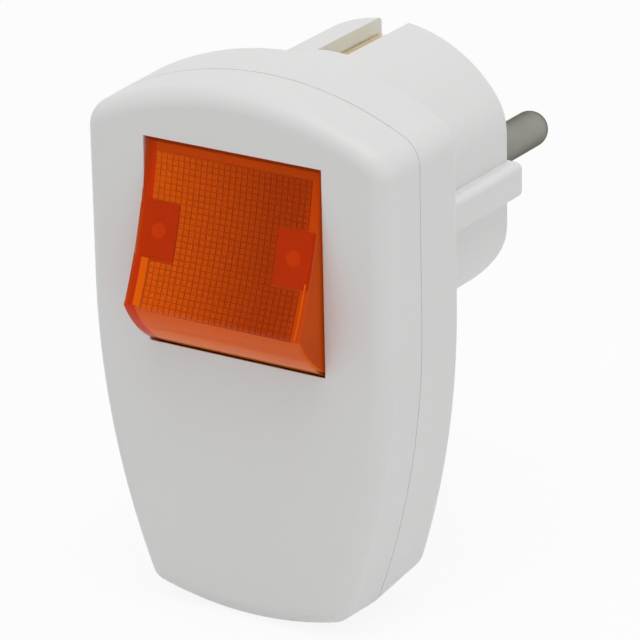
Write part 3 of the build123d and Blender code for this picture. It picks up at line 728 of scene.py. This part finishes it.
def coil_shape(x):
    """A round wire wound about a line along Y, closed at both ends."""
    steps = round(coil_turns * coil_steps)
    start = Matrix.Translation((x + coil_radius, coil_low, 0))
    start @= Matrix.Rotation(math.radians(90), 4, "Z")
    shape = bmesh.new()
    bmesh.ops.create_circle(
        shape, cap_ends=True, segments=wire_sides, radius=wire_radius, matrix=start
    )
    bmesh.ops.spin(
        shape, geom=shape.verts[:] + shape.edges[:] + shape.faces[:], cent=(x, 0, 0),
        axis=(0, -1, 0), angle=math.tau * coil_turns, steps=steps,
        dvec=(0, (coil_high - coil_low) / steps, 0),
    )
    bmesh.ops.recalc_face_normals(shape, faces=shape.faces)
    for face in shape.faces:
        face.smooth = True
    return in_rocker(shape)


spring_wire = finish("spring_wire", wire_grey, wire_roughness, wire_cloud, metallic=1.0)
for side, hand in hands.items():
    wound = coil_shape(hand * coil_x)
    coil = piece(f"spring_coil_{side}", wound, [spring_wire], "rocker")
    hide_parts(f"plunger_spring_{side}")
    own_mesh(coil)


# Studio: a white floor and a white surround, soft light from all round and a large soft lamp above.
# The floor shows white to the camera and still takes the plug's shadow.
floor_half = 1.5
floor_white = (0.9, 0.9, 0.9)
floor_roughness = 0.9
floor_glow = 0.88
surround_light = 0.575
key_power = 3.2
key_size = 0.7
key_place = Vector((0.10, -0.20, 0.90))
fill_power = 0.5
fill_size = 0.6
fill_place = Vector((0.8, 0.1, 0.25))


def seen_directly(tree):
    """1 for rays from the camera, a mirror or through glass, 0 for light that falls on things."""
    rays = tree.nodes.new("ShaderNodeLightPath")
    camera_or_gloss = tree.nodes.new("ShaderNodeMath")
    camera_or_gloss.operation = "MAXIMUM"
    seen = tree.nodes.new("ShaderNodeMath")
    seen.operation = "MAXIMUM"
    tree.links.new(rays.outputs["Is Camera Ray"], camera_or_gloss.inputs[0])
    tree.links.new(rays.outputs["Is Glossy Ray"], camera_or_gloss.inputs[1])
    tree.links.new(camera_or_gloss.outputs[0], seen.inputs[0])
    tree.links.new(rays.outputs["Is Transmission Ray"], seen.inputs[1])
    return seen.outputs[0]


surround = bpy.data.worlds.new("white_surround")
surround.use_nodes = True
scene.world = surround
sky = surround.node_tree.nodes["Background"]
sky.inputs["Color"].default_value = (1, 1, 1, 1)
sky_level = surround.node_tree.nodes.new("ShaderNodeMapRange")
sky_level.inputs["To Min"].default_value = surround_light
surround.node_tree.links.new(seen_directly(surround.node_tree), sky_level.inputs["Value"])
surround.node_tree.links.new(sky_level.outputs["Result"], sky.inputs["Strength"])

floor_shape = bmesh.new()
bmesh.ops.create_grid(floor_shape, x_segments=1, y_segments=1, size=floor_half)
floor_mesh = bpy.data.meshes.new("floor")
floor_shape.to_mesh(floor_mesh)
floor_shape.free()
floor = bpy.data.objects.new("floor", floor_mesh)
floor.location.z = cad_box[0][2]
scene.collection.objects.link(floor)
floor_paint = bpy.data.materials.new("white_floor")
floor_paint.use_nodes = True
floor_tree = floor_paint.node_tree
floor_shader = floor_tree.nodes["Principled BSDF"]
floor_shader.inputs["Base Color"].default_value = (*floor_white, 1)
floor_shader.inputs["Roughness"].default_value = floor_roughness
floor_light = floor_tree.nodes.new("ShaderNodeEmission")
floor_light.inputs["Color"].default_value = (1, 1, 1, 1)
floor_share = floor_tree.nodes.new("ShaderNodeMath")
floor_share.operation = "MULTIPLY"
floor_share.inputs[1].default_value = floor_glow
floor_mix = floor_tree.nodes.new("ShaderNodeMixShader")
floor_tree.links.new(seen_directly(floor_tree), floor_share.inputs[0])
floor_tree.links.new(floor_share.outputs[0], floor_mix.inputs["Fac"])
floor_tree.links.new(floor_shader.outputs["BSDF"], floor_mix.inputs[1])
floor_tree.links.new(floor_light.outputs["Emission"], floor_mix.inputs[2])
floor_end = floor_tree.nodes["Material Output"]
floor_tree.links.new(floor_mix.outputs["Shader"], floor_end.inputs["Surface"])
floor.data.materials.append(floor_paint)


def soft_lamp(name, power, size, place):
    """A square soft lamp that faces the plug."""
    lamp = bpy.data.objects.new(name, bpy.data.lights.new(name, "AREA"))
    lamp.data.energy = power
    lamp.data.size = size
    lamp.location = place
    lamp.rotation_mode = "QUATERNION"
    lamp.rotation_quaternion = (-place).to_track_quat("-Z", "Y")
    scene.collection.objects.link(lamp)


soft_lamp("key_lamp", key_power, key_size, key_place)
soft_lamp("fill_lamp", fill_power, fill_size, fill_place)
